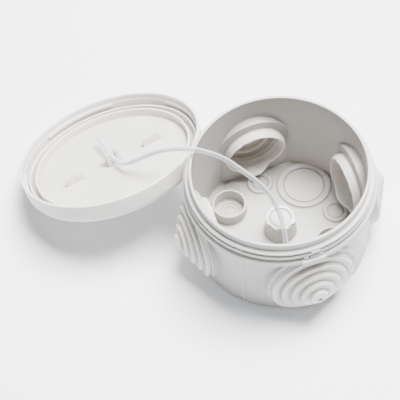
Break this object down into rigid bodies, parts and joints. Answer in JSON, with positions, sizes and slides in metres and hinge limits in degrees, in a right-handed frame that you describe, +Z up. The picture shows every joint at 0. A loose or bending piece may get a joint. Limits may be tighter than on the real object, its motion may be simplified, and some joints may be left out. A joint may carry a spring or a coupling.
{
  "type": "round junction box",
  "caption": "Round plastic junction box with stepped soft grommets for the cables, screw wells in its floor and a snap lid that lies open beside it on a soft cord.",
  "frame": {"origin": "on the cup's axis, in its flat bottom face", "axes": "+Z up along the cup's axis; the cable entries face +X, +Y, -X and -Y; the open lid lies towards -X +Y"},
  "size_m": [0.1434, 0.1347, 0.0526],
  "materials": {
    "housing": "satin moulded",
    "lid": "satin moulded",
    "grommet": "soft matte",
    "cap": "matte, torn edge",
    "cord": "clear and soft"
  },
  "bodies": {
    "base": {"base_housing": "housing", "cable_grommet_right": "grommet", "cable_grommet_back": "grommet", "cable_grommet_left": "grommet", "cable_grommet_front": "grommet", "screw_well_cap": "cap", "tether_cord": "cord"},
    "lid": {"lid_shell": "lid"}
  },
  "joints": [
    {"name": "lid_swing", "type": "hinge", "parent": "base", "child": "lid", "pos_m": [-0.03079, 0.02884, 0.04847], "axis": [0.7004, 0.706, -0.1046], "range_deg": [0, 199.84], "deforming": ["tether_cord"]}
  ]
}
